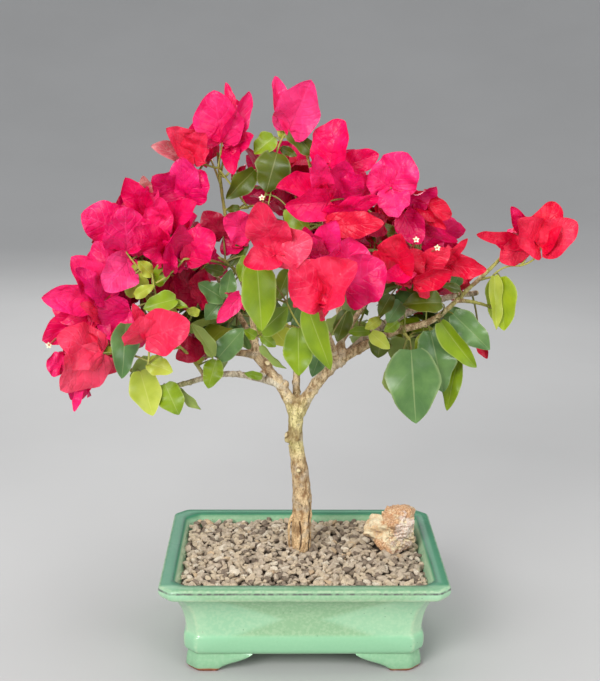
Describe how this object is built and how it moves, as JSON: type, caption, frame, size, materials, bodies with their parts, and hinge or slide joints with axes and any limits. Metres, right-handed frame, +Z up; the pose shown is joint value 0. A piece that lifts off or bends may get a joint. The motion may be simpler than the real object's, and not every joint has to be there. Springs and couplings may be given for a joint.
{
  "type": "potted flowering bonsai",
  "caption": "Flowering bougainvillea bonsai: a forked trunk with a broad crown of papery bracts and leaves, set in gravel beside a stone in a glazed rectangular pot on feet.",
  "frame": {"origin": "under the middle of the pot, on the surface that its feet stand on", "axes": "+Z up, the pot's long side along X, the front of the tree towards -Y"},
  "size_m": [0.3853, 0.2562, 0.4143],
  "materials": {
    "glaze": "glossy celadon green glaze",
    "gravel": "dry beige-grey gravel",
    "stone": "rough cream and rust stone",
    "bark": "rough grey-brown bark",
    "bracts": "papery magenta-red bracts",
    "leaves": "satin green leaves"
  },
  "bodies": {
    "root": {"pot": "glaze", "soil": "gravel", "accent_stone": "stone", "trunk": "bark", "left_bough": "bark", "right_bough": "bark", "left_low_branch": "bark", "left_upper_branch": "bark", "left_leader": "bark", "right_upper_branch": "bark", "right_leader": "bark", "front_branch": "bark", "back_left_branch": "bark", "back_right_branch": "bark", "back_branch": "bark", "blossom_left_low": "bracts", "blossom_left": "bracts", "blossom_left_inner": "bracts", "blossom_top_left": "bracts", "blossom_top": "bracts", "blossom_upper": "bracts", "blossom_front": "bracts", "blossom_right": "bracts", "blossom_right_tip": "bracts", "leaves_right_tip": "leaves", "leaves_left": "leaves", "leaves_centre": "leaves", "leaves_right": "leaves", "blossom_back_left": "bracts", "blossom_back": "bracts", "blossom_back_right": "bracts", "leaves_back_left": "leaves", "leaves_back_right": "leaves"}
  },
  "joints": []
}
